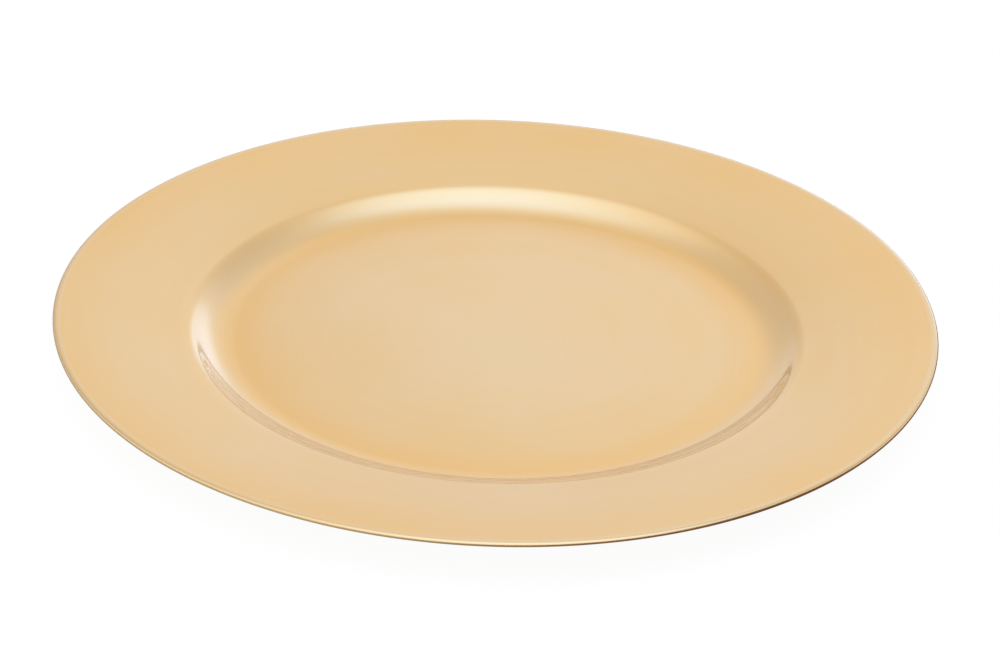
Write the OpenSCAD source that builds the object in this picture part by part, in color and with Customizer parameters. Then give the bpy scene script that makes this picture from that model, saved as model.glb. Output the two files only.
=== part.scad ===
// Paten plate: a spun brass sheet with its edge rolled over a stiffening wire,
// standing on a foot ring that is soldered under the well.
// The origin is on the axis, at the surface that the foot ring stands on. +Z is up.

/* [Plate] */
// Diameter over the rolled edge
plate_d = 330; // [300:1:360]
// Diameter of the well's mouth, where the rim starts to turn down
well_d = 233; // [215:0.5:250]
// Drop from the well's mouth to its floor
well_depth = 6.9; // [5:0.1:10]
// Steepest slope of the well's wall, in degrees
wall_angle = 35; // [28:1:45]
// Radius of the convex curve from the rim to the wall
shoulder_r = 10; // [4:0.5:20]
// Radius of the concave curve from the wall to the floor
cove_r = 24; // [6:1:30]

/* [Rim] */
// Slope of the rim next to the well, in degrees
rim_inner_angle = 11.5; // [9:0.5:14]
// Slope of the rim next to its lip, in degrees
rim_outer_angle = 8; // [4:0.5:8.5]
// Radius of the lip, where the rim turns down into the rolled edge
lip_r = 5; // [3:0.5:12]
// Downward slope at the end of the lip, in degrees
lip_angle = 10; // [5:1:20]

/* [Sheet and wire] */
// Thickness of the sheet
sheet_t = 0.5; // [0.4:0.05:0.8]
// Diameter of the wire inside the rolled edge
wire_d = 0.6; // [0.5:0.05:1.2]
// Gap all round between the wire and the roll
wire_clearance = 0.02; // [0.01:0.01:0.05]
// Angle that the roll turns round the wire
roll_angle = 270; // [200:5:285]
// Gap between the two butted ends of the wire
wire_end_gap = 0.4; // [0.2:0.1:1]

/* [Foot ring] */
// Height of the foot ring
foot_h = 1.8; // [1.5:0.1:4]
// Width of the foot ring's section
foot_w = 3; // [2:0.1:5]
// Distance from the foot ring out to the edge of the flat floor
foot_inset = 5; // [2:0.5:12]
// Radius on the foot ring's two lower edges
foot_edge_r = 0.4; // [0.2:0.1:0.6]
// Leg of the solder fillet on each side of the foot ring
solder_leg = 0.6; // [0.3:0.1:0.8]

/* [Hidden] */
$fn = 180;

// Largest turn between two points of a curve in a section, in degrees
curve_step = 2.5;
// Most of the well's depth that the shoulder may take
shoulder_share = 0.4;

// Rolled edge: the roll's two radii and the centre of the wire
roll_in_r = wire_d / 2 + wire_clearance;
roll_out_r = roll_in_r + sheet_t;
wire_centre_r = plate_d / 2 - roll_out_r;

// Upper surface of the well, from its mouth inwards. The two curves are limited by its depth.
floor_z = foot_h + sheet_t;
mouth_r = well_d / 2;
mouth_z = floor_z + well_depth;
shoulder_turn = cos(rim_inner_angle) - cos(wall_angle);
shoulder_fit_r = min(shoulder_r, shoulder_share * well_depth / shoulder_turn);
shoulder_run = shoulder_fit_r * (sin(wall_angle) - sin(rim_inner_angle));
wall_top_z = mouth_z - shoulder_fit_r * shoulder_turn;
cove_turn = 1 - cos(wall_angle);
cove_fit_r = min(cove_r, (wall_top_z - floor_z) / cove_turn);
wall_foot_z = floor_z + cove_fit_r * cove_turn;
wall_run = (wall_top_z - wall_foot_z) / tan(wall_angle);
floor_r = mouth_r - shoulder_run - wall_run - cove_fit_r * sin(wall_angle);

// Upper surface of the rim, from the well's mouth out to the roll
lip_end_r = wire_centre_r + roll_out_r * sin(lip_angle);
lip_start_r = lip_end_r - lip_r * (sin(rim_outer_angle) + sin(lip_angle));
rim_r = (lip_start_r - mouth_r) / (sin(rim_inner_angle) - sin(rim_outer_angle));
lip_start_z = mouth_z + rim_r * (cos(rim_outer_angle) - cos(rim_inner_angle));
lip_end_z = lip_start_z + lip_r * (cos(lip_angle) - cos(rim_outer_angle));
wire_centre_z = lip_end_z - roll_out_r * cos(lip_angle);
roll_end_angle = 90 - lip_angle - roll_angle;

// Foot ring: its outer and inner faces
foot_out_r = floor_r - foot_inset;
foot_in_r = foot_out_r - foot_w;

// Points of an arc, with its ends. Angles are in degrees, anticlockwise from +X.
function arc(centre, r, from, to) =
    let (steps = max(2, ceil(abs(to - from) / curve_step)))
    [for (i = [0:steps]) centre + r * [cos(from + (to - from) * i / steps),
                                       sin(from + (to - from) * i / steps)]];

function reversed(points) = [for (i = [len(points) - 1:-1:0]) points[i]];

// One face of the sheet from the axis to the end of the roll. depth is how far the face
// lies under the upper surface: 0 for the upper face and sheet_t for the lower one.
function sheet_face(depth) = concat(
    [[0, floor_z - depth]],
    arc([floor_r, floor_z + cove_fit_r], cove_fit_r + depth, -90, wall_angle - 90),
    arc([mouth_r + shoulder_fit_r * sin(rim_inner_angle), mouth_z - shoulder_fit_r * cos(rim_inner_angle)],
        shoulder_fit_r - depth, 90 + wall_angle, 90 + rim_inner_angle),
    arc([mouth_r + rim_r * sin(rim_inner_angle), mouth_z - rim_r * cos(rim_inner_angle)],
        rim_r - depth, 90 + rim_inner_angle, 90 + rim_outer_angle),
    arc([lip_start_r + lip_r * sin(rim_outer_angle), lip_start_z - lip_r * cos(rim_outer_angle)],
        lip_r - depth, 90 + rim_outer_angle, 90 - lip_angle),
    arc([wire_centre_r, wire_centre_z], roll_out_r - depth, 90 - lip_angle, roll_end_angle)
);

// The spun sheet: floor, wall, rim and the edge rolled round the wire
module plate_shell() {
    color("#e9c992")
        rotate_extrude()
            polygon(concat(sheet_face(0), reversed(sheet_face(sheet_t))));
}

// The stiffening wire: one turn of round wire with its ends butted
module rim_wire() {
    gap_angle = wire_end_gap / wire_centre_r * 180 / PI;
    color("#8d8f92")
        rotate([0, 0, gap_angle / 2])
            rotate_extrude(angle = 360 - gap_angle)
                translate([wire_centre_r, wire_centre_z])
                    circle(d = wire_d, $fn = 48);
}

// The foot: a ring of flat bar with its two lower edges rounded
module foot_ring() {
    color("#dcb877")
        rotate_extrude()
            polygon(concat(
                [[foot_in_r, foot_h]],
                arc([foot_in_r + foot_edge_r, foot_edge_r], foot_edge_r, 180, 270),
                arc([foot_out_r - foot_edge_r, foot_edge_r], foot_edge_r, 270, 360),
                [[foot_out_r, foot_h]]
            ));
}

// The solder that joins the foot to the sheet: a hollow fillet outside and inside the ring
module solder_seam() {
    color("#cfa864")
        rotate_extrude() {
            polygon(concat([[foot_out_r, foot_h]],
                           arc([foot_out_r + solder_leg, foot_h - solder_leg], solder_leg, 180, 90)));
            polygon(concat([[foot_in_r, foot_h]],
                           arc([foot_in_r - solder_leg, foot_h - solder_leg], solder_leg, 0, 90)));
        }
}

plate_shell();
rim_wire();
foot_ring();
solder_seam();
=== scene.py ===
from math import ceil, cos, pi, radians, sin, tan

import bpy
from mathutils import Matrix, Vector


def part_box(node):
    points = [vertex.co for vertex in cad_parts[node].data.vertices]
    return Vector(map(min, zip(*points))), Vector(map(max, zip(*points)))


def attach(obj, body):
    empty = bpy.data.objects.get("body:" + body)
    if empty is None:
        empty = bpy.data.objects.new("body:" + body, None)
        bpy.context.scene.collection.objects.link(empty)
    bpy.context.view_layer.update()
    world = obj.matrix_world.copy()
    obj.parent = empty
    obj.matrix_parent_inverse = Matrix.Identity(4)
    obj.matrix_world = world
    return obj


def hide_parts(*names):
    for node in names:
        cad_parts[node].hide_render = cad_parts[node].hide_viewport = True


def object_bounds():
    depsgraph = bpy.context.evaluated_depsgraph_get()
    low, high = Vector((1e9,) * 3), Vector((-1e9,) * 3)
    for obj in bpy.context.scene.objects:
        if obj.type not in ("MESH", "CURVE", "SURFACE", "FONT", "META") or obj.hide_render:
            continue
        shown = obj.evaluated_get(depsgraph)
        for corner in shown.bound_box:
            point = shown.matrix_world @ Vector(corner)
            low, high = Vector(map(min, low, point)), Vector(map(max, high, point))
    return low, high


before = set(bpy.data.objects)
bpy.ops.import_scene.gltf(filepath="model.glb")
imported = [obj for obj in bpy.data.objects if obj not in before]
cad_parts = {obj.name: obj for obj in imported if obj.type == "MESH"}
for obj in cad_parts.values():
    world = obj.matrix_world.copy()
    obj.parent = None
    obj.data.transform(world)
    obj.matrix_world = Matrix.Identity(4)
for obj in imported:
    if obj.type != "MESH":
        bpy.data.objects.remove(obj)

bl_info = {
    "name": "Paten Plate",
    "version": (1, 0, 0),
    "blender": (4, 5, 0),
    "location": "3D View > Sidebar > Paten",
    "description": "Makes a gilt paten plate: a spun sheet, wired at the edge, on a soldered foot",
    "category": "Add Mesh",
}

MM = 0.001
CAD_LOW, CAD_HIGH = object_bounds()
SHELL_LOW, SHELL_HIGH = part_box("plate_shell")
WIRE_LOW, WIRE_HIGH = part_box("rim_wire")
FOOT_LOW, FOOT_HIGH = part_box("foot_ring")

# Faces round the axis, and the largest turn of one face along a curve, on the sheet and elsewhere
TURN_FACES = 320
SHEET_STEP = radians(2)
ROLL_STEP = radians(7.5)
# Points of a seam that lie closer than this are one point, and edges flatter than this are smooth
SEAM_GAP = 0.002 * MM
SMOOTH_BELOW = radians(35)

# Share of pale gilding in the sheet, at places from the axis (0) to the edge (1). It is partly the
# gilding's tone by radius and partly painted light: painted highlights on the steep part of the
# wall and on the rolled edge, and a painted darker band at the foot of the wall.
PALE_AND_HIGHLIGHT_SHARE = (
    (0.0, 1.0),  # middle of the floor
    (0.35, 0.7),
    (0.5, 0.5),  # outer floor
    # painted darker band: deep gold at the foot of the wall stands in for the darker band the cove
    # mirrors there
    (0.6, 0.0),  # foot of the wall
    # painted highlight: the steep part of the wall is made pale
    (0.66, 0.8),  # steep part of the wall
    (0.7, 0.5),  # mouth of the well
    (0.8, 0.5),
    (0.98, 0.15),  # outer rim
    # painted highlight line: the rolled edge is made pale
    (0.99, 1.0),  # rolled edge
)
# How far the clouds and the spun lines move that share, up or down, and how rough the lines are
CLOUD_DRIFT = 0.15
STREAK_DRIFT = 0.15
LINE_ROUGHNESS = 0.04
LINE_DEPTH = 0.004 * MM
# Rings of the sheet whose finish differs: the burnished wall, from its middle to where it fades,
# and the polished roll and the rubbed edge, from the plate's outline inwards
WALL_FROM_MOUTH = 5.5 * MM
WALL_FADES = 10 * MM
POLISH_FADES = 1.4 * MM
RUB_FADES = 0.9 * MM
# The gilding under the plate and the wire: darker patches, and how far their streaks roughen them
FOOT_DARKENING = 0.82
FOOT_STREAKS = 0.16
WIRE_DARKENING = 0.7
WIRE_ROUGHNESS = 0.22
WIRE_STREAKS = 0.25

WHITE = (1.0, 1.0, 1.0)
WARM = (1.0, 0.9, 0.8)
BROWN = (1.0, 0.6, 0.4)
SKY = (0.65, 0.75, 1.0)
COOL = (0.55, 0.7, 1.0)
# The room that the metal mirrors: round soft-edged patches, each laid over the ones before it. A
# patch has the azimuth and elevation of its middle, the angle inside which it is full and the one
# outside which it is gone, all in degrees, then its colour and strength.
ROOM = (
    (45, 45, 8, 35, WARM, 0.7),  # dim right side
    (125, 35, 15, 32, WARM, 0.7),  # dim left side
    (70, 11, 5, 14, SKY, 2.1),  # window, low on the far side
    (-90, 45, 20, 45, WHITE, 1.2),  # light above the camera
    (-15, 10, 15, 35, BROWN, 0.12),  # dark corner, low on the right
    (-35, 83, 10, 35, COOL, 2.0),  # light overhead
)
# The room's dark foot, and the sines of the elevations between which the room rises out of it
FOOT_SHADE = (0.12, 0.04, 0.02)
HORIZON = (0.075, 0.13)
# Side of the table, and the gap that keeps it clear of the foot
TABLE_SIDE = 6
TABLE_GAP = 0.05 * MM
# The table as the metal mirrors it, with painted shade. Under the plate it glows at this share of
# its level, as a painted shadow, and it brightens between two distances from the plate's axis.
# Beyond the plate it fades between two places from left to right, into a painted dark brown shade.
TABLE_OPENS = (0.1, 0.2)
TABLE_SHADOW_SHARE = 0.8
TABLE_BEYOND = (0.12, 0.165)
TABLE_FADES = (-0.12, 0.1)


# ---------------------------------------------------------------- sizes, colours and light

def length_property(name, description, default):
    """A length in metres, shown in the file's own unit."""
    return bpy.props.FloatProperty(
        name=name, description=description, default=default, min=0.0, unit="LENGTH", precision=5)


def angle_property(name, description, default):
    """An angle whose default is given in degrees."""
    return bpy.props.FloatProperty(
        name=name, description=description, default=radians(default), subtype="ANGLE")


def colour_property(name, description, default):
    """A colour, as the metal gives it back."""
    return bpy.props.FloatVectorProperty(
        name=name, description=description, default=default, size=3, min=0.0, max=1.0,
        subtype="COLOR")


def factor_property(name, description, default):
    """A share from 0 to 1."""
    return bpy.props.FloatProperty(
        name=name, description=description, default=default, min=0.0, max=1.0, subtype="FACTOR")


class PatenSizes(bpy.types.PropertyGroup):
    """Sizes of the plate's sections. The outer ones come from the frame."""
    plate_diameter: length_property(
        "Plate", "Diameter over the rolled edge", SHELL_HIGH.x - SHELL_LOW.x)
    foot_height: length_property(
        "Foot height", "Height of the foot ring", FOOT_HIGH.z - FOOT_LOW.z)
    foot_diameter: length_property(
        "Foot", "Diameter over the foot ring", FOOT_HIGH.x - FOOT_LOW.x)
    foot_width: length_property("Foot width", "Width of the foot ring's section", 3 * MM)
    foot_edge_radius: length_property(
        "Foot edge", "Radius on the foot ring's lower edges", 0.4 * MM)
    solder_leg: length_property("Solder", "Leg of the solder fillet beside the foot ring", 0.6 * MM)
    well_diameter: length_property("Well", "Diameter of the well's mouth", 233 * MM)
    well_depth: length_property("Well depth", "Drop from the well's mouth to its floor", 6.9 * MM)
    wall_angle: angle_property("Wall", "Steepest slope of the well's wall", 35)
    shoulder_radius: length_property("Shoulder", "Radius from the rim to the wall", 10 * MM)
    cove_radius: length_property("Cove", "Radius from the wall to the floor", 24 * MM)
    rim_inner_angle: angle_property("Rim, inner", "Slope of the rim next to the well", 11.5)
    rim_outer_angle: angle_property("Rim, outer", "Slope of the rim next to its lip", 8)
    lip_radius: length_property(
        "Lip", "Radius where the rim turns down into the rolled edge", 5 * MM)
    lip_angle: angle_property("Lip, end", "Downward slope at the end of the lip", 10)
    sheet_thickness: length_property("Sheet", "Thickness of the sheet", 0.5 * MM)
    wire_diameter: length_property(
        "Wire", "Diameter of the wire in the roll", WIRE_HIGH.z - WIRE_LOW.z)
    wire_clearance: length_property("Wire gap", "Gap between the wire and the roll", 0.02 * MM)
    roll_angle: angle_property("Roll", "Angle that the roll turns round the wire", 270)


class PatenFinish(bpy.types.PropertyGroup):
    """Colours and gloss of the metals."""
    gold_deep: colour_property("Deep gold", "Gilding where it is thick", (0.9, 0.58, 0.21))
    # The pale gold also paints the highlights on the wall's steep part and on the rolled edge.
    gold_pale: colour_property(
        "Pale gold", "Gilding where it is rubbed thin", (0.87, 0.65, 0.36))
    foot_gold: colour_property("Foot gold", "Gilding of the turned foot ring", (0.74, 0.49, 0.22))
    solder_gold: colour_property("Solder gold", "Gilding over the solder", (0.68, 0.45, 0.21))
    steel: colour_property("Steel", "Drawn steel of the wire", (0.42, 0.42, 0.43))
    satin: factor_property("Satin", "Roughness of the sheet", 0.43)
    burnish: factor_property("Burnish", "How much smoother the well's wall is", 0.07)
    roll_polish: factor_property("Roll polish", "How much smoother the rolled edge is", 0.18)
    lacquer: factor_property("Lacquer", "Weight of the clear lacquer on the sheet", 1.0)
    lacquer_blur: factor_property("Lacquer blur", "Roughness of the lacquer", 0.035)
    edge_rub: factor_property(
        "Edge rub", "How much of the lacquer is rubbed off the very edge", 0.9)


class PatenStudio(bpy.types.PropertyGroup):
    """Camera and light."""
    distance: length_property("Distance", "From the camera to the middle of the plate", 0.99)
    elevation: angle_property("Elevation", "Of the camera above the plate", 28.979)
    roll: angle_property("Roll", "Of the camera round its own line of sight", 2.127)
    lens: bpy.props.FloatProperty(
        name="Lens", description="Focal length", default=94.07, unit="CAMERA")
    shift: bpy.props.FloatVectorProperty(
        name="Shift", description="Of the picture against the lens", default=(0.00455, 0.00187),
        size=2)
    softbox_size: length_property("Softbox", "Diameter of the round softbox overhead", 1.6)
    softbox_height: length_property("Softbox height", "Height of the softbox above the table", 1.0)
    softbox_power: bpy.props.FloatProperty(
        name="Softbox power", description="Power of the softbox overhead", default=0.3, min=0.0,
        unit="POWER")
    table_shade: factor_property("Table", "Shade of the table", 0.07)
    table_glow: factor_property("Table's own light", "Towards the camera", 0.95)
    mirrored_glow: factor_property(
        "Mirrored table", "Level of the table where the metal mirrors it", 0.5)


# ---------------------------------------------------------------- modelling steps

def select_only(piece):
    bpy.ops.object.select_all(action="DESELECT")
    piece.select_set(True)
    bpy.context.view_layer.objects.active = piece


def start_section(name, radius, height):
    """A new piece in edit mode that holds one selected point of its section, in the XZ plane."""
    bpy.ops.object.select_all(action="DESELECT")
    bpy.ops.mesh.primitive_plane_add(size=MM, location=(0, 0, 0))
    piece = bpy.context.active_object
    piece.name = piece.data.name = name
    bpy.ops.object.mode_set(mode="EDIT")
    bpy.ops.mesh.select_mode(type="VERT")
    bpy.ops.mesh.select_all(action="SELECT")
    bpy.ops.mesh.merge(type="CENTER")
    bpy.ops.transform.translate(value=(radius, 0, height))
    return piece


def draw_line(run, rise, pieces=1):
    """Carries the section on from its selected end by a straight line, in equal pieces."""
    for _ in range(pieces):
        bpy.ops.mesh.extrude_region_move(
            TRANSFORM_OT_translate={"value": (run / pieces, 0, rise / pieces)})


def draw_arc(centre_radius, centre_height, turn, step=SHEET_STEP, least=6):
    """Carries the section on round a centre. A turn above 0 is anticlockwise."""
    bpy.ops.mesh.spin(
        steps=max(least, ceil(abs(turn) / step)), angle=turn,
        center=(centre_radius, 0, centre_height), axis=(0, 1, 0))


def turn_section():
    """Spins the section round the Z axis, closes its seam and pole, and makes its faces agree."""
    bpy.ops.mesh.select_all(action="SELECT")
    bpy.ops.mesh.spin(steps=TURN_FACES, angle=2 * pi, center=(0, 0, 0), axis=(0, 0, 1))
    bpy.ops.mesh.select_all(action="SELECT")
    bpy.ops.mesh.remove_doubles(threshold=SEAM_GAP)
    bpy.ops.mesh.normals_make_consistent(inside=False)
    bpy.ops.object.mode_set(mode="OBJECT")


def face_up(piece):
    """Turns an open sheet's faces over if the one nearest the axis looks down."""
    nearest = min(piece.data.polygons, key=lambda face: face.center.xy.length)
    if nearest.normal.z < 0:
        bpy.ops.object.mode_set(mode="EDIT")
        bpy.ops.mesh.select_all(action="SELECT")
        bpy.ops.mesh.flip_normals()
        bpy.ops.object.mode_set(mode="OBJECT")


def thicken(piece, thickness):
    """Gives a sheet its thickness on the far side of its faces."""
    select_only(piece)
    wall = piece.modifiers.new("sheet", "SOLIDIFY")
    wall.thickness = thickness
    wall.offset = -1
    wall.use_even_offset = True
    bpy.ops.object.modifier_apply(modifier=wall.name)


def finish_piece(piece, material, node):
    """Smooth shading, a material and a place in the frame."""
    select_only(piece)
    bpy.ops.object.shade_smooth_by_angle(angle=SMOOTH_BELOW)
    piece.data.materials.clear()
    piece.data.materials.append(material)
    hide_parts(node)
    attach(piece, "root")


class SheetSection:
    """Heights and radii of the sheet's upper surface, worked out from the sizes."""

    def __init__(self, sizes):
        wall, inner, outer = sizes.wall_angle, sizes.rim_inner_angle, sizes.rim_outer_angle
        self.roll_r = sizes.wire_diameter / 2 + sizes.wire_clearance + sizes.sheet_thickness
        self.wire_r = sizes.plate_diameter / 2 - self.roll_r
        self.floor_z = sizes.foot_height + sizes.sheet_thickness
        self.mouth_r = sizes.well_diameter / 2
        self.mouth_z = self.floor_z + sizes.well_depth
        shoulder_run = sizes.shoulder_radius * (sin(wall) - sin(inner))
        wall_top_z = self.mouth_z - sizes.shoulder_radius * (cos(inner) - cos(wall))
        wall_foot_z = self.floor_z + sizes.cove_radius * (1 - cos(wall))
        self.wall_rise = wall_top_z - wall_foot_z
        self.wall_run = self.wall_rise / tan(wall)
        self.floor_r = self.mouth_r - shoulder_run - self.wall_run - sizes.cove_radius * sin(wall)
        lip_end_r = self.wire_r + self.roll_r * sin(sizes.lip_angle)
        self.lip_r = lip_end_r - sizes.lip_radius * (sin(outer) + sin(sizes.lip_angle))
        self.rim_curve_r = (self.lip_r - self.mouth_r) / (sin(inner) - sin(outer))
        self.lip_z = self.mouth_z + self.rim_curve_r * (cos(outer) - cos(inner))
        lip_end_z = self.lip_z + sizes.lip_radius * (cos(sizes.lip_angle) - cos(outer))
        self.wire_z = lip_end_z - self.roll_r * cos(sizes.lip_angle)


# ---------------------------------------------------------------- shader nodes

def add_node(tree, kind, inputs=(), **settings):
    """Adds a node. An input, by name or number, is given a value or another node's output."""
    made = tree.nodes.new(kind)
    for name, value in settings.items():
        setattr(made, name, value)
    for key, value in dict(inputs).items():
        if isinstance(value, bpy.types.NodeSocket):
            tree.links.new(value, made.inputs[key])
        else:
            made.inputs[key].default_value = value
    return made


def calculate(tree, operation, *values):
    """A Math node's output."""
    return add_node(tree, "ShaderNodeMath", dict(enumerate(values)), operation=operation).outputs[0]


def spread(tree, value, low, high, to_low=0.0, to_high=1.0):
    """A value eased from one range to another."""
    return add_node(tree, "ShaderNodeMapRange", {
        "Value": value, "From Min": low, "From Max": high, "To Min": to_low, "To Max": to_high,
    }, interpolation_type="SMOOTHSTEP").outputs["Result"]


def blend_colours(tree, factor, first, second):
    return add_node(tree, "ShaderNodeMix", {
        "Factor": factor, "A": first, "B": second}, data_type="RGBA").outputs["Result"]


def solid(colour):
    return (*colour, 1.0)


def start_group(name, inputs, outputs):
    """A node group with float inputs and their defaults, and float outputs."""
    tree = bpy.data.node_groups.new(name, "ShaderNodeTree")
    for title, default in inputs.items():
        socket = tree.interface.new_socket(
            name=title, in_out="INPUT", socket_type="NodeSocketFloat")
        socket.default_value = default
    for title in outputs:
        tree.interface.new_socket(name=title, in_out="OUTPUT", socket_type="NodeSocketFloat")
    return tree, tree.nodes.new("NodeGroupInput").outputs, tree.nodes.new("NodeGroupOutput").inputs


def radius_and_place(tree):
    """The distance from the axis, and the point itself."""
    place = tree.nodes.new("ShaderNodeTexCoord").outputs["Object"]
    split = add_node(tree, "ShaderNodeSeparateXYZ", {0: place})
    flat = add_node(tree, "ShaderNodeCombineXYZ", {0: split.outputs[0], 1: split.outputs[1]})
    radius = add_node(tree, "ShaderNodeVectorMath", {0: flat.outputs[0]}, operation="LENGTH")
    return radius.outputs["Value"], flat.outputs[0], place


def spun_lines_group():
    """Fine rings that the spinning tool leaves round the axis, fading in and out as they run."""
    name = "Spun Lines"
    if name in bpy.data.node_groups:
        return bpy.data.node_groups[name]
    tree, given, put_out = start_group(
        name, {"Lines per Metre": 900.0, "Run": 3.0}, ("Height", "Broad"))
    radius, flat, _ = radius_and_place(tree)
    way = add_node(tree, "ShaderNodeVectorMath", {0: flat}, operation="NORMALIZE").outputs[0]
    split = add_node(tree, "ShaderNodeSeparateXYZ", {0: way})
    across = calculate(tree, "MULTIPLY", radius, given["Lines per Metre"])
    run_x = calculate(tree, "MULTIPLY", split.outputs[0], given["Run"])
    run_y = calculate(tree, "MULTIPLY", split.outputs[1], given["Run"])
    ring = add_node(tree, "ShaderNodeCombineXYZ", {0: across, 1: run_x, 2: run_y}).outputs[0]
    fine = add_node(tree, "ShaderNodeTexNoise", {"Vector": ring, "Scale": 1.0, "Detail": 3.0})
    broad = add_node(tree, "ShaderNodeTexNoise", {"Vector": ring, "Scale": 0.13, "Detail": 2.0})
    tree.links.new(fine.outputs[0], put_out["Height"])
    tree.links.new(broad.outputs[0], put_out["Broad"])
    return tree


def cloud_group():
    """Soft patches of thicker and thinner gilding."""
    name = "Gilding Clouds"
    if name in bpy.data.node_groups:
        return bpy.data.node_groups[name]
    tree, given, put_out = start_group(name, {"Scale": 14.0, "Spread": 0.2}, ("Cloud",))
    _, _, place = radius_and_place(tree)
    cloud = add_node(tree, "ShaderNodeTexNoise", {
        "Vector": place, "Scale": given["Scale"], "Detail": 3.0, "Roughness": 0.45}).outputs[0]
    low = calculate(tree, "SUBTRACT", 0.5, given["Spread"])
    high = calculate(tree, "ADD", 0.5, given["Spread"])
    tree.links.new(spread(tree, cloud, low, high), put_out["Cloud"])
    return tree


def soft_ring_group():
    """A ring round the axis: 1 within half its width of the radius, and 0 at its width."""
    name = "Soft Ring"
    if name in bpy.data.node_groups:
        return bpy.data.node_groups[name]
    tree, given, put_out = start_group(name, {"Radius": 0.1, "Width": 0.01}, ("Ring",))
    radius, _, _ = radius_and_place(tree)
    away = calculate(tree, "ABSOLUTE", calculate(tree, "SUBTRACT", radius, given["Radius"]))
    ring = spread(tree, calculate(tree, "DIVIDE", away, given["Width"]), 0.5, 1.0, 1.0, 0.0)
    tree.links.new(ring, put_out["Ring"])
    return tree


def use_group(tree, group, **values):
    made = tree.nodes.new("ShaderNodeGroup")
    made.node_tree = group
    for name, value in values.items():
        made.inputs[name.replace("_", " ")].default_value = value
    return made.outputs


def start_material(name, **values):
    """A metal. The values are the shader's own, by name."""
    material = bpy.data.materials.new(name)
    material.use_nodes = True
    shader = material.node_tree.nodes["Principled BSDF"]
    shader.inputs["Metallic"].default_value = 1.0
    for key, value in values.items():
        shader.inputs[key.replace("_", " ")].default_value = value
    return material, material.node_tree, shader


def bump(tree, height, distance):
    return add_node(tree, "ShaderNodeBump", {
        "Height": height, "Distance": distance, "Strength": 1.0}).outputs[0]


def gilt_material(finish, sizes):
    """Gilded brass sheet: spun satin under a clear lacquer, its tone set by radius. This is partly
    the gilding's own tone and partly painted light: painted highlights, pale on the wall's steep
    part and the rolled edge, and a painted darker band, deep at the wall's foot.
    """
    material, tree, shader = start_material(
        "gilt_brass", Coat_Roughness=finish.lacquer_blur, Coat_IOR=1.5)
    lines = use_group(tree, spun_lines_group(), **{"Lines per Metre": 1100.0, "Run": 2.5})
    clouds = use_group(tree, cloud_group(), Scale=16.0, Spread=0.22)
    radius, _, _ = radius_and_place(tree)
    # Tone by radius, with painted highlights on the steep wall and the rolled edge and a painted
    # darker band at the wall's foot
    zones = add_node(tree, "ShaderNodeValToRGB", {
        "Fac": calculate(tree, "DIVIDE", radius, sizes.plate_diameter / 2)})
    ramp = zones.color_ramp
    ramp.interpolation = "EASE"
    for place, level in PALE_AND_HIGHLIGHT_SHARE:
        stop = ramp.elements.new(place)
        stop.color = (level, level, level, 1)
    ramp.elements.remove(ramp.elements[0])
    ramp.elements.remove(ramp.elements[-1])
    drift = calculate(tree, "MULTIPLY_ADD", clouds["Cloud"], 2 * CLOUD_DRIFT, -CLOUD_DRIFT)
    streak = calculate(tree, "MULTIPLY_ADD", lines["Broad"], 2 * STREAK_DRIFT, -STREAK_DRIFT)
    pale = calculate(tree, "ADD", zones.outputs["Color"], calculate(tree, "ADD", drift, streak))
    colour = blend_colours(tree, pale, solid(finish.gold_deep), solid(finish.gold_pale))
    tree.links.new(colour, shader.inputs["Base Color"])
    rough = calculate(tree, "MULTIPLY_ADD", lines["Height"],
                      2 * LINE_ROUGHNESS, finish.satin - LINE_ROUGHNESS)
    wall = use_group(tree, soft_ring_group(),
                     Radius=sizes.well_diameter / 2 - WALL_FROM_MOUTH, Width=WALL_FADES)
    rough = calculate(tree, "MULTIPLY_ADD", wall["Ring"], -finish.burnish, rough)
    roll = use_group(tree, soft_ring_group(), Radius=sizes.plate_diameter / 2, Width=POLISH_FADES)
    rough = calculate(tree, "MULTIPLY_ADD", roll["Ring"], -finish.roll_polish, rough)
    tree.links.new(rough, shader.inputs["Roughness"])
    tree.links.new(bump(tree, lines["Height"], LINE_DEPTH), shader.inputs["Normal"])
    edge = use_group(tree, soft_ring_group(), Radius=sizes.plate_diameter / 2, Width=RUB_FADES)
    coat = calculate(tree, "MULTIPLY_ADD", edge["Ring"], -finish.edge_rub, finish.lacquer)
    tree.links.new(coat, shader.inputs["Coat Weight"])
    return material


def plain_gilt_material(name, colour, roughness, lines_per_metre, line_depth):
    """Turned or flowed metal under the plate, gilded with the sheet."""
    material, tree, shader = start_material(
        name, Coat_Roughness=0.1, Coat_IOR=1.5, Coat_Weight=0.6)
    lines = use_group(
        tree, spun_lines_group(), **{"Lines per Metre": lines_per_metre, "Run": 1.5})
    clouds = use_group(tree, cloud_group(), Scale=45.0, Spread=0.25)
    dark = Vector(colour) * FOOT_DARKENING
    tree.links.new(blend_colours(tree, clouds["Cloud"], solid(dark), solid(colour)),
                   shader.inputs["Base Color"])
    rough = calculate(tree, "MULTIPLY_ADD", lines["Broad"], FOOT_STREAKS, roughness)
    tree.links.new(rough, shader.inputs["Roughness"])
    tree.links.new(bump(tree, lines["Height"], line_depth), shader.inputs["Normal"])
    return material


def steel_material(finish):
    """Bright drawn wire with draw marks along its length."""
    material, tree, shader = start_material("steel_wire")
    lines = use_group(tree, spun_lines_group(), **{"Lines per Metre": 9000.0, "Run": 6.0})
    clouds = use_group(tree, cloud_group(), Scale=120.0, Spread=0.2)
    dull = Vector(finish.steel) * WIRE_DARKENING
    tree.links.new(blend_colours(tree, clouds["Cloud"], solid(dull), solid(finish.steel)),
                   shader.inputs["Base Color"])
    rough = calculate(tree, "MULTIPLY_ADD", lines["Broad"], WIRE_STREAKS, WIRE_ROUGHNESS)
    tree.links.new(rough, shader.inputs["Roughness"])
    tree.links.new(bump(tree, lines["Height"], 0.01 * MM), shader.inputs["Normal"])
    return material


# ---------------------------------------------------------------- pieces

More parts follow.
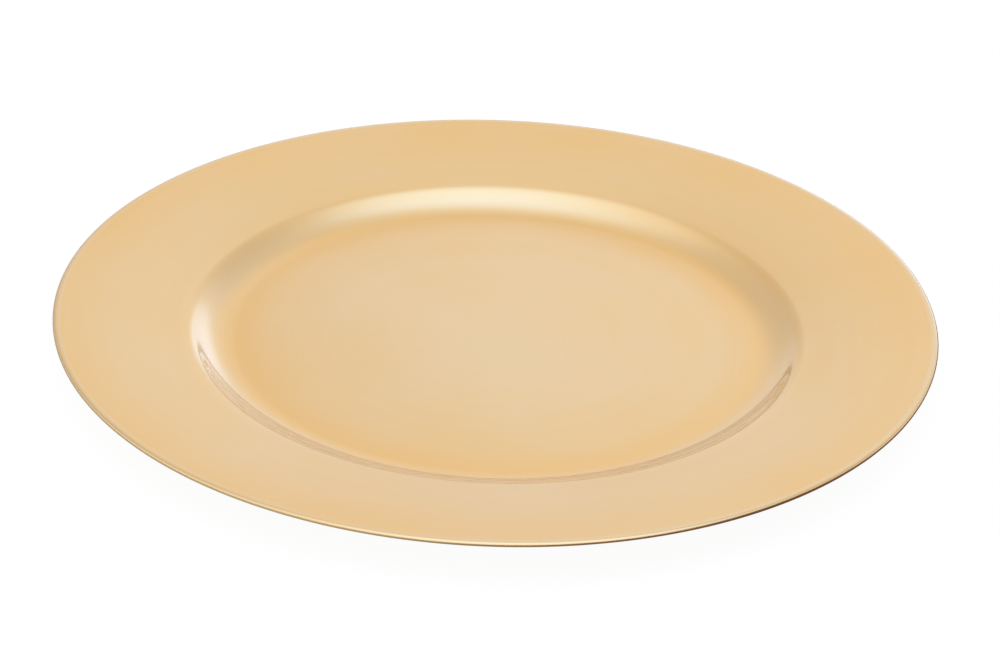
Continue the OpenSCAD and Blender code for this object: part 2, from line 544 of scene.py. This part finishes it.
class PATEN_OT_plate_shell(bpy.types.Operator):
    """Model the spun sheet: floor, cove, wall, shoulder, rim, lip and rolled edge"""
    bl_idname = "paten.plate_shell"
    bl_label = "Plate Shell"

    def execute(self, context):
        sizes = context.scene.paten_sizes
        s = SheetSection(sizes)
        wall, inner, outer = sizes.wall_angle, sizes.rim_inner_angle, sizes.rim_outer_angle
        piece = start_section("plate_body", 0, s.floor_z)
        draw_line(s.floor_r, 0, pieces=12)
        draw_arc(s.floor_r, s.floor_z + sizes.cove_radius, wall)
        draw_line(s.wall_run, s.wall_rise, pieces=2)
        draw_arc(s.mouth_r + sizes.shoulder_radius * sin(inner),
                 s.mouth_z - sizes.shoulder_radius * cos(inner), inner - wall)
        draw_arc(s.mouth_r + s.rim_curve_r * sin(inner), s.mouth_z - s.rim_curve_r * cos(inner),
                 outer - inner, least=16)
        draw_arc(s.lip_r + sizes.lip_radius * sin(outer), s.lip_z - sizes.lip_radius * cos(outer),
                 -outer - sizes.lip_angle)
        draw_arc(s.wire_r, s.wire_z, -sizes.roll_angle, step=ROLL_STEP)
        turn_section()
        face_up(piece)
        thicken(piece, sizes.sheet_thickness)
        gilt = gilt_material(context.scene.paten_finish, sizes)
        finish_piece(piece, gilt, "plate_shell")
        return {"FINISHED"}


class PATEN_OT_rim_wire(bpy.types.Operator):
    """Finish the stiffening wire inside the rolled edge as drawn steel"""
    bl_idname = "paten.rim_wire"
    bl_label = "Rim Wire"

    def execute(self, context):
        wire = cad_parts["rim_wire"]
        steel = steel_material(context.scene.paten_finish)
        for place in wire.material_slots:
            place.material = steel
        return {"FINISHED"}


class PATEN_OT_foot_ring(bpy.types.Operator):
    """Model the foot ring with its two lower edges rounded"""
    bl_idname = "paten.foot_ring"
    bl_label = "Foot Ring"

    def execute(self, context):
        sizes, finish = context.scene.paten_sizes, context.scene.paten_finish
        outer_r = sizes.foot_diameter / 2
        inner_r, edge = outer_r - sizes.foot_width, sizes.foot_edge_radius
        side = sizes.foot_height - edge
        piece = start_section("foot", inner_r, sizes.foot_height)
        draw_line(0, -side, pieces=2)
        draw_arc(inner_r + edge, edge, pi / 2, step=ROLL_STEP)
        draw_line(sizes.foot_width - 2 * edge, 0, pieces=4)
        draw_arc(outer_r - edge, edge, pi / 2, step=ROLL_STEP)
        draw_line(0, side, pieces=2)
        draw_line(-sizes.foot_width, 0)
        turn_section()
        gilt = plain_gilt_material("foot_brass", finish.foot_gold, 0.3, 2600.0, 0.006 * MM)
        finish_piece(piece, gilt, "foot_ring")
        return {"FINISHED"}


class PATEN_OT_solder_seam(bpy.types.Operator):
    """Model the solder fillets on both sides of the foot ring"""
    bl_idname = "paten.solder_seam"
    bl_label = "Solder Seam"

    def execute(self, context):
        sizes, finish = context.scene.paten_sizes, context.scene.paten_finish
        leg, top, outer_r = sizes.solder_leg, sizes.foot_height, sizes.foot_diameter / 2
        fillets = []
        seams = (("solder", outer_r, 1), ("solder_inside", outer_r - sizes.foot_width, -1))
        for name, wall_r, out in seams:
            fillet = start_section(name, wall_r, top)
            draw_line(0, -leg)
            draw_arc(wall_r + out * leg, top - leg, -out * pi / 2, step=ROLL_STEP)
            draw_line(-out * leg, 0)
            turn_section()
            fillets.append(fillet)
        select_only(fillets[0])
        fillets[1].select_set(True)
        bpy.ops.object.join()
        gilt = plain_gilt_material("hard_solder", finish.solder_gold, 0.34, 700.0, 0.02 * MM)
        finish_piece(fillets[0], gilt, "solder_seam")
        return {"FINISHED"}


# ---------------------------------------------------------------- stage

def table_material(studio):
    """Pale table, clear from below: it keeps a soft shadow, and shows nearly white to the camera
    and darker in the metal, with a painted shadow under the plate and a painted dark brown shade
    beyond it on the right."""
    material = bpy.data.materials.new("table")
    material.use_nodes = True
    tree = material.node_tree
    shader = tree.nodes["Principled BSDF"]
    shader.inputs["Base Color"].default_value = solid([studio.table_shade] * 3)
    shader.inputs["Roughness"].default_value = 0.9
    shader.inputs["Specular IOR Level"].default_value = 0.0
    path = tree.nodes.new("ShaderNodeLightPath").outputs
    mirrored = calculate(tree, "MAXIMUM", path["Is Glossy Ray"], path["Is Transmission Ray"])
    radius, flat, _ = radius_and_place(tree)
    right = add_node(tree, "ShaderNodeSeparateXYZ", {0: flat}).outputs[0]
    # Painted dark brown shade: beyond the plate and to the right, the mirrored table turns to the
    # room's dark foot colour.
    faded = calculate(
        tree, "MULTIPLY", spread(tree, radius, *TABLE_BEYOND), spread(tree, right, *TABLE_FADES))
    side = blend_colours(tree, faded, solid([studio.mirrored_glow] * 3), solid(FOOT_SHADE))
    colour = blend_colours(tree, path["Is Camera Ray"], side, solid([studio.table_glow] * 3))
    tree.links.new(colour, shader.inputs["Emission Color"])
    # Painted shadow: the mirrored table glows less under the plate.
    opening = spread(tree, radius, *TABLE_OPENS, TABLE_SHADOW_SHARE)
    level = calculate(tree, "MULTIPLY_ADD", mirrored, opening, path["Is Camera Ray"])
    tree.links.new(level, shader.inputs["Emission Strength"])
    two_sides = add_node(tree, "ShaderNodeMixShader", {
        0: tree.nodes.new("ShaderNodeNewGeometry").outputs["Backfacing"],
        1: shader.outputs[0],
        2: tree.nodes.new("ShaderNodeBsdfTransparent").outputs[0]})
    tree.links.new(two_sides.outputs[0], tree.nodes["Material Output"].inputs["Surface"])
    return material


def patch(tree, way, azimuth, elevation, inner, outer):
    """A round soft-edged part of the room: 1 inside its inner angle and 0 outside its outer one."""
    azimuth, elevation = radians(azimuth), radians(elevation)
    middle = (cos(azimuth) * cos(elevation), sin(azimuth) * cos(elevation), sin(elevation))
    near = add_node(tree, "ShaderNodeVectorMath", {0: way, 1: middle}, operation="DOT_PRODUCT")
    return spread(tree, near.outputs["Value"], cos(radians(outer)), cos(radians(inner)))


def make_world(scene):
    """A white room, dark at its foot, with the patches of light and shade laid over it."""
    world = bpy.data.worlds.new("studio")
    scene.world = world
    world.use_nodes = True
    tree = world.node_tree
    way = tree.nodes.new("ShaderNodeTexCoord").outputs["Generated"]
    colour = solid(WHITE)
    for azimuth, elevation, inner, outer, tint, strength in ROOM:
        shade = patch(tree, way, azimuth, elevation, inner, outer)
        colour = blend_colours(tree, shade, colour, solid(Vector(tint) * strength))
    height = add_node(tree, "ShaderNodeSeparateXYZ", {0: way}).outputs[2]
    colour = blend_colours(tree, spread(tree, height, *HORIZON), solid(FOOT_SHADE), colour)
    path = tree.nodes.new("ShaderNodeLightPath").outputs
    colour = blend_colours(tree, path["Is Camera Ray"], colour, solid(WHITE))
    tree.links.new(colour, tree.nodes["Background"].inputs["Color"])


class PATEN_OT_stage(bpy.types.Operator):
    """Set the table, the lights, the world and the camera"""
    bl_idname = "paten.stage"
    bl_label = "Stage"

    def execute(self, context):
        scene, studio = context.scene, context.scene.paten_studio
        scene.view_settings.view_transform = "Standard"
        bpy.ops.object.select_all(action="DESELECT")
        bpy.ops.mesh.primitive_plane_add(size=TABLE_SIDE, location=(0, 0, CAD_LOW.z - TABLE_GAP))
        table = bpy.context.active_object
        table.name = "table"
        table.data.materials.append(table_material(studio))
        make_world(scene)

        bpy.ops.object.light_add(type="AREA", location=(0, 0, studio.softbox_height))
        softbox = bpy.context.active_object
        softbox.name = "softbox"
        softbox.data.shape = "DISK"
        softbox.data.size = studio.softbox_size
        softbox.data.energy = studio.softbox_power

        back = Vector((0, -cos(studio.elevation), sin(studio.elevation)))
        middle = Vector((0, 0, FOOT_HIGH.z + context.scene.paten_sizes.sheet_thickness))
        bpy.ops.object.camera_add(location=middle + back * studio.distance)
        camera = bpy.context.active_object
        camera.name = "camera"
        camera.rotation_euler = (pi / 2 - studio.elevation, 0, 0)
        camera.rotation_euler.rotate_axis("Z", studio.roll)
        camera.data.lens = studio.lens
        camera.data.sensor_width = 36
        camera.data.shift_x, camera.data.shift_y = studio.shift
        scene.camera = camera
        return {"FINISHED"}


class PATEN_PT_sidebar(bpy.types.Panel):
    """Lists the plate's operators"""
    bl_idname = "PATEN_PT_sidebar"
    bl_label = "Paten Plate"
    bl_space_type = "VIEW_3D"
    bl_region_type = "UI"
    bl_category = "Paten"

    def draw(self, context):
        for operator in OPERATORS:
            self.layout.operator(operator.bl_idname)


GROUPS = (("paten_sizes", PatenSizes), ("paten_finish", PatenFinish), ("paten_studio", PatenStudio))
OPERATORS = (
    PATEN_OT_plate_shell, PATEN_OT_rim_wire, PATEN_OT_foot_ring, PATEN_OT_solder_seam,
    PATEN_OT_stage)


def register():
    for name, group in GROUPS:
        bpy.utils.register_class(group)
        setattr(bpy.types.Scene, name, bpy.props.PointerProperty(type=group))
    for item in OPERATORS + (PATEN_PT_sidebar,):
        bpy.utils.register_class(item)


def unregister():
    for item in reversed(OPERATORS + (PATEN_PT_sidebar,)):
        bpy.utils.unregister_class(item)
    for name, group in reversed(GROUPS):
        delattr(bpy.types.Scene, name)
        bpy.utils.unregister_class(group)


def main():
    register()
    bpy.ops.paten.plate_shell()
    bpy.ops.paten.rim_wire()
    bpy.ops.paten.foot_ring()
    bpy.ops.paten.solder_seam()
    bpy.ops.paten.stage()


if __name__ == "__main__":
    main()
